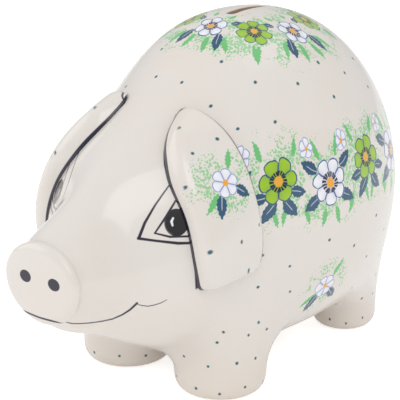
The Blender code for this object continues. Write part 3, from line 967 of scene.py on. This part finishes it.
SMILE = ((0.0, -121.0, 58.4, 0.38), (8.0, -120.7, 58.7, 0.42), (11.0, -120.1, 58.7, 0.42),
         (12.7, -118.6, 58.2, 0.46), (11.6, -115.6, 56.6, 0.46), (12.4, -112.6, 56.0, 0.44),
         (16.0, -107.4, 55.4, 0.42), (21.5, -94.7, 54.8, 0.46), (26.7, -88.4, 58.7, 0.5),
         (29.2, -86.2, 62.0, 0.5))
SMILE_CREASE = ((29.4, -85.6, 61.2, 0.16), (31.9, -81.5, 59.7, 0.2), (36.1, -77.3, 61.1, 0.18),
                (38.2, -75.4, 62.7, 0.12))
HIGHLIGHT = ((36.7, -68.9, 100.9, 0.32), (36.5, -69.8, 99.4, 0.42), (37.3, -70.0, 97.7, 0.3))
# How far apart the brush strokes of each line start.
EYE_STEP, SMILE_STEP, CREASE_STEP, HIGHLIGHT_STEP = 9.0, 4.5, 3.0, 2.0
PUPIL = (38.3, -68.4, 99.0)
PUPIL_HALF_WIDTH, PUPIL_HALF_HEIGHT = 5.65, 6.4
PUPIL_DEPTH = 15.0
PUPIL_ACROSS = Vector((0.738, 0.674, 0.0))
PUPIL_UP = Vector((-0.248, 0.272, 0.930))
RIGHT_EYE_WIDER = 1.3
RIGHT_EYE_INWARD = 5.0
NOSTRIL_MIDDLE_X = 1.6
NOSTRIL_SPREAD = 9.0
NOSTRIL_Z = 77.2
NOSTRIL_HALF_WIDTH, NOSTRIL_HALF_HEIGHT = 3.6, 2.95
NOSTRIL_REAR_Y = -112.0
# The bold line in front of an ear: its height up the head, points along it, and how far it waves.
EAR_LINE_MIDDLE, EAR_LINE_HALF = 59.3, 38.2
EAR_LINE_POINTS = 12
EAR_LINE_WIDTH, EAR_LINE_WAVE = 0.78, 0.16


def as_right_eye(spot):
    """The same spot of the right eye, which is painted a little wider and nearer the snout."""
    across = (spot - Vector(PUPIL)).dot(PUPIL_ACROSS)
    return spot + PUPIL_ACROSS * (across * (RIGHT_EYE_WIDER - 1.0) - RIGHT_EYE_INWARD)


def painted_line(place, skin, points, step, right=None):
    """One line of brush strokes through points that are pressed onto the body."""
    path = smooth_path(points, step)
    on_skin = []
    for spot in (Vector(p[:3]) for p in path):
        left_spot = skin.find_nearest(spot * MM)[0] / MM
        if right is None:
            on_skin.append(tuple(left_spot))
        else:
            shift = skin.find_nearest(as_right_eye(spot) * MM)[0] / MM - left_spot
            on_skin.append(right.vector("MULTIPLY", tuple(shift)).vector("ADD", tuple(left_spot)))
    cover = None
    for index in range(len(path) - 1):
        piece = use_group(place.tree, "stroke", place=place, start=on_skin[index],
                          end=on_skin[index + 1], start_width=path[index][3] * BRUSH,
                          end_width=path[index + 1][3] * BRUSH)["cover"]
        cover = piece if cover is None else cover.math("MAXIMUM", piece)
    return cover


def follow(value, pairs):
    """A smooth curve through pairs of (value, result)."""
    pairs = sorted(pairs)
    low, high = pairs[0][0], pairs[-1][0]
    least, most = min(p[1] for p in pairs), max(p[1] for p in pairs)
    node = add_node(value.tree, "FloatCurve", {"Value": (value - low) / (high - low)})
    points = node.mapping.curves[0].points
    for index, (start, result) in enumerate(pairs):
        place = ((start - low) / (high - low), (result - least) / (most - least))
        if index in (0, len(pairs) - 1):
            points[0 if index == 0 else -1].location = place
        else:
            points.new(*place)
    node.mapping.update()
    return Value(value.tree, node.outputs[0]).math("MULTIPLY_ADD", most - least, least)


def ear_line(colour, side, y, z):
    """A bold brush line on the head along the front of an ear."""
    up = z * math.cos(EAR_SLANT) - side * math.sin(EAR_SLANT)
    front = [on_curve(EAR_FRONT, k / EAR_LINE_POINTS) for k in range(EAR_LINE_POINTS + 1)]
    widths = []
    for k, (point, after) in enumerate(zip(front, front[1:])):
        lean = math.hypot(1.0, (after - point).x / (after - point).y)
        widths.append((point.y, lean * (EAR_LINE_WIDTH + EAR_LINE_WAVE * math.sin(2.2 + k))))
    width = follow(up, widths)
    ahead = y - follow(up, [(point.y, point.x) for point in front])
    bold = (abs(ahead + width * 0.85) - width).inside(0.3)
    bold = bold * (abs(up - EAR_LINE_MIDDLE) - EAR_LINE_HALF).inside(0.6)
    return over(colour, NAVY, bold * (side - 8.0).outside(1.0))


def pupil(colour, spot, right):
    """A black oval with a grey crescent of painted reflection in it."""
    from_pupil = spot.vector("SUBTRACT", PUPIL)
    across = from_pupil.vector("DOT_PRODUCT", tuple(PUPIL_ACROSS), result="Value")
    across = (across + right * RIGHT_EYE_INWARD) / (right * (RIGHT_EYE_WIDER - 1.0) + 1.0)
    up = from_pupil.vector("DOT_PRODUCT", tuple(PUPIL_UP), result="Value")
    depth = from_pupil.vector("LENGTH", result="Value")
    oval = span(across / PUPIL_HALF_WIDTH, up / PUPIL_HALF_HEIGHT) - 1.0
    colour = over(colour, PUPIL_BLACK, oval.inside(0.06) * (depth - PUPIL_DEPTH).inside(1.0))
    # The grey crescent is a painted reflection in the pupil.
    reflection_crescent = abs(((across + 0.7) / 4.6).math("POWER", 2.0)
                   + ((up + 0.3) / 5.2).math("POWER", 2.0) - 1.0)
    reflection_crescent = (reflection_crescent - 0.1).inside(0.1) * ((across + 2.0).inside(1.5) * (up - 2.5).inside(2.0))
    return over(colour, REFLECTION_GREY, reflection_crescent * (depth - PUPIL_DEPTH).inside(1.0) * 0.7)


def face(colour, skin, mirrored, x, y, z):
    """Eyes, smile, lines before the ears and nostrils in dark blue."""
    right = x.math("LESS_THAN", 0.0)
    colour = pupil(colour, mirrored, right)
    colour = over(colour, EYE_LIGHT, painted_line(mirrored, skin, HIGHLIGHT, HIGHLIGHT_STEP, right))
    for points in (EYE_OUTER, EYE_OUTER_LOW, EYE_INNER, EYE_INNER_LOW):
        colour = over(colour, NAVY, painted_line(mirrored, skin, points, EYE_STEP, right))
    for points, step in ((SMILE, SMILE_STEP), (SMILE_CREASE, CREASE_STEP)):
        colour = over(colour, NAVY, painted_line(mirrored, skin, points, step))
    colour = ear_line(colour, abs(x), y, z)
    side = (abs(x - NOSTRIL_MIDDLE_X) - NOSTRIL_SPREAD) / NOSTRIL_HALF_WIDTH
    nostril = span(side, (z - NOSTRIL_Z) / NOSTRIL_HALF_HEIGHT) - 1.0
    return over(colour, NAVY, nostril.inside(0.1) * (y - NOSTRIL_REAR_Y).inside(1.0))


def new_material(name):
    """A new material, its node tree, and the place on the piece in millimetres."""
    material = bpy.data.materials.new(name)
    material.use_nodes = True
    tree = material.node_tree
    where = tree.nodes.new("ShaderNodeTexCoord")
    place = Value(tree, where.outputs["Object"]).vector("SCALE", scale=1.0 / MM)
    return material, tree, place


def add_relief(tree, height, strength, distance):
    """Relief in the surface, into the material's own shader."""
    bump = add_node(tree, "Bump", {"Strength": strength, "Distance": distance * MM,
                                   "Height": height})
    tree.links.new(bump.outputs["Normal"], tree.nodes["Principled BSDF"].inputs["Normal"])


def finish_glaze(tree, place, z, decorate):
    """Glaze, with the decoration under it, into the material's own shader."""
    glaze = use_group(tree, "glaze", place=place, height=z)
    plug_in(tree, tree.nodes["Principled BSDF"], {
        "Base Color": decorate(glaze["colour"]), "Roughness": glaze["roughness"],
        "Coat Weight": glaze["bare"].less_from(0.75), "Coat Roughness": 0.09, "IOR": 1.45})
    add_relief(tree, glaze["ripple"], 0.35, 0.25)


def body_glaze(skin):
    material, tree, place = new_material("painted_glaze")
    x, y, z = split(place)
    side = abs(x)
    mirrored = Value(tree, add_node(tree, "CombineXYZ", {0: side, 1: y, 2: z}).outputs[0])

    def decorate(colour):
        wobble = noise(tree, place, 0.16, 1.0, "Color").vector("SUBTRACT", (0.5, 0.5, 0.5))
        hand = place.vector("ADD", wobble.vector("SCALE", scale=2.4))
        hand_x, hand_y, hand_z = split(hand)
        colour = over(colour, DOT, body_dots(tree, side, y, z))
        colour = garland(colour, place, hand_x, hand_y, hand_z)
        on_back = (hand_z - BACK_FROM_Z).outside(1.0)
        colour = over(colour, wreath(colour, place, hand_x, hand_y), on_back)
        on_belly = (abs(y - BELLY_SPRIG[0]) - 24.0).inside(1.0) * (z - 80.0).inside(1.0)
        flower = sprig(colour, place, hand_y - BELLY_SPRIG[0], hand_z - BELLY_SPRIG[1])
        return face(over(colour, flower, on_belly), skin, mirrored, x, y, z)
    finish_glaze(tree, place, z, decorate)
    return material


# Dots: their size, how far apart they lie, how the legs are measured, and where the dots stop.
DOT_RADIUS = 0.8
FLANK_PITCH, LEG_PITCH, EAR_PITCH = 19.0, 14.0, 13.5
FLANK_RADIUS, LEG_RADIUS = 72.0, 24.0
LEG_X = 30.5
LEG_TOP_Z = 36.0
LEG_EDGE = 29.0
LEG_FRONT_Y = -57.0
BETWEEN_LEGS_Y = 27.0
FACE_REAR_Y = -38.0
CHEEK_LOW_Z = 40.0
SOLE_EDGE_Z = 3.5


def body_dots(tree, side, y, z):
    """Dots over the back, the flanks and the legs, clear of the face and the flowers."""
    round_body = side.math("ARCTAN2", z - BARREL_WIDEST_Z) * FLANK_RADIUS
    hind = (y - BETWEEN_LEGS_Y).math("GREATER_THAN", 0.0)
    leg_y = hind * (HIND_LEG[2] - FRONT_LEG[2]) + FRONT_LEG[2]
    leg_x = side - LEG_X
    round_leg = (y - leg_y).math("ARCTAN2", leg_x) * LEG_RADIUS
    off_axis = span(y - leg_y, leg_x)
    on_leg = (z - LEG_TOP_Z).math("LESS_THAN", 0.0)
    x_chart = round_body + (round_leg - round_body) * on_leg
    y_chart = y + (z - y) * on_leg
    cover = use_group(tree, "dots", x=x_chart, y=y_chart, radius=DOT_RADIUS,
                      pitch=on_leg * (LEG_PITCH - FLANK_PITCH) + FLANK_PITCH)["cover"]
    off_garland = (abs(z - GARLAND_Z) - GARLAND_EDGE).outside(1.0)
    off_wreath = (span(side, y - SLOT_Y) - WREATH_EDGE).outside(1.0)
    off_wreath = off_wreath.math("MAXIMUM", (z - BACK_FROM_Z).inside(1.0))
    off_face = (y - FACE_REAR_Y).outside(2.0).math(
        "MAXIMUM", (z - CHEEK_LOW_Z).inside(1.0) * (y - LEG_FRONT_Y).outside(1.0))
    off_sprig = (span(y - BELLY_SPRIG[0], z - BELLY_SPRIG[1]) - SPRIG_EDGE).outside(1.0)
    off_sole = (z - SOLE_EDGE_Z).outside(1.0)
    off_belly = (off_axis - LEG_EDGE).inside(1.0).math("MAXIMUM", on_leg.less_from(1.0))
    return cover * off_belly * off_garland * off_wreath * off_face * off_sprig * off_sole


FINE_LINE_IN, FINE_LINE_HALF = 2.5, 0.45
BOLD_EDGE = 1.2


def ear_glaze():
    """Dots and a sprig on an ear, a fine line inside its rim and a bold one down its front."""
    material, tree, place = new_material("painted_ear_glaze")
    x, _, z = split(place)

    def chart(layer):
        node = tree.nodes.new("ShaderNodeUVMap")
        node.uv_map = layer
        return split(Value(tree, node.outputs[0]).vector("SCALE", scale=CHART_UNIT))[:2]

    def decorate(colour):
        y, up = chart("chart")
        front, rim = chart("rim")
        down = chart("share")[0] / CHART_UNIT
        dots = use_group(tree, "dots", x=y, y=up, pitch=EAR_PITCH, radius=DOT_RADIUS)["cover"]
        off_sprig = (span(y - EAR_SPRIG[0], up - EAR_SPRIG[1] + 2.0) - 15.0).outside(1.0)
        off_lines = (rim - 4.0).outside(1.0) * (front - 8.0).outside(1.0)
        colour = over(colour, DOT, dots * off_sprig * off_lines)
        colour = sprig(colour, place, y - EAR_SPRIG[0], up - EAR_SPRIG[1])
        colour = over(colour, THIN_LINE, (abs(rim - FINE_LINE_IN) - FINE_LINE_HALF).inside(0.3))
        swell = (down * 4 * math.pi).math("COSINE") * 0.2 + down * 0.3
        left = (x + 1.0).outside(1.0)
        return over(colour, NAVY, (front - BOLD_EDGE - swell - left).inside(0.35))
    finish_glaze(tree, place, z, decorate)
    return material


def tail_glaze():
    material, tree, place = new_material("tail_glaze")
    finish_glaze(tree, place, split(place)[2], lambda colour: colour)
    return material


def bare_clay():
    material, tree, place = new_material("bare_clay")
    grain = noise(tree, place, 1.1, 5.0)
    plug_in(tree, tree.nodes["Principled BSDF"],
            {"Base Color": over(SLOT_CLAY, CLAY, grain), "Roughness": 0.75})
    add_relief(tree, grain, 1.0, 0.2)
    return material


def black_rubber():
    material, tree, place = new_material("black_rubber")
    grain = noise(tree, place, 2.2, 4.0)
    dust = noise(tree, place, 0.25, 3.0)
    plug_in(tree, tree.nodes["Principled BSDF"],
            {"Base Color": over(RUBBER, DUSTY_RUBBER, dust * 0.6), "Roughness": grain * 0.2 + 0.45})
    add_relief(tree, grain, 0.5, 0.12)
    return material


# ---------------- room, lights and camera

def make_floor():
    nothing_selected()
    bpy.ops.mesh.primitive_plane_add(size=8.0, location=(0, 0, 0))
    floor = bpy.context.object
    floor.name = "floor"
    material, tree, _ = new_material("white_floor")
    path = tree.nodes.new("ShaderNodeLightPath")
    seen = Value(tree, path.outputs["Is Camera Ray"])
    plug_in(tree, tree.nodes["Principled BSDF"], {
        "Base Color": (0.86, 0.85, 0.84, 1), "Roughness": 0.9, "Specular IOR Level": 0.1,
        "Emission Color": (1, 1, 1, 1), "Emission Strength": seen * 0.52 + 0.16})
    floor.data.materials.append(material)


def make_world():
    world = bpy.data.worlds.new("studio")
    bpy.context.scene.world = world
    world.use_nodes = True
    tree = world.node_tree
    path = tree.nodes.new("ShaderNodeLightPath")
    seen, through, glossy = (Value(tree, path.outputs[f"Is {kind} Ray"])
                             for kind in ("Camera", "Transmission", "Glossy"))
    strength = seen.math("MAXIMUM", through) * 0.2 + 0.8 - glossy * 0.25
    plug_in(tree, tree.nodes["Background"], {"Color": (1, 1, 1, 1), "Strength": strength})


# Each lamp: name, place, what it points at, size in metres, and power.
LAMPS = (("key_softbox", (0.9, -0.9, 1.5), (0, 0, 0.08), (1.2, 0.9), 5.2),
         ("fill_softbox", (-1.4, -0.9, 0.8), (0, 0, 0.08), (1.4, 1.2), 4.5),
         ("top_softbox", (0.1, 0.6, 1.7), (0, 0, 0.1), (1.2, 1.2), 1.8))


def add_area_light(name, place, target, size, power):
    nothing_selected()
    bpy.ops.object.light_add(type="AREA", location=place)
    lamp = bpy.context.object
    lamp.name = name
    lamp.data.shape = "RECTANGLE"
    lamp.data.size, lamp.data.size_y = size
    lamp.data.energy = power
    lamp.rotation_euler = (Vector(target) - Vector(place)).to_track_quat("-Z", "Y").to_euler()


CAMERA_AZIMUTH = math.radians(39.76)
CAMERA_ELEVATION = math.radians(19.02)
CAMERA_DISTANCE = 0.9029
CAMERA_TARGET = Vector((0, -0.0054, 0.0848))


def make_camera():
    """The photograph's view: from the pig's front left, a little above."""
    level = math.cos(CAMERA_ELEVATION)
    away = Vector((math.sin(CAMERA_AZIMUTH) * level, -math.cos(CAMERA_AZIMUTH) * level,
                   math.sin(CAMERA_ELEVATION)))
    nothing_selected()
    bpy.ops.object.camera_add(location=CAMERA_TARGET + away * CAMERA_DISTANCE)
    camera = bpy.context.object
    camera.rotation_euler = (-away).to_track_quat("-Z", "Y").to_euler()
    camera.data.lens = 162.0
    camera.data.sensor_width = 36.0
    camera.data.clip_start = 0.01
    bpy.context.scene.camera = camera


def main():
    for make_group in (stroke_group, dots_group, sponge_group, bloom_group, leaf_group,
                       glaze_group):
        make_group()
    make_camera()
    skin = make_body()
    ear_paint = ear_glaze()
    make_ear("left_ear", 1, skin, "ear_left", ear_paint)
    make_ear("right_ear", -1, skin, "ear_right", ear_paint)
    make_tail(skin, tail_glaze())
    make_stopper()
    make_floor()
    make_world()
    for lamp in LAMPS:
        add_area_light(*lamp)
    bpy.context.scene.view_settings.view_transform = "Standard"


main()
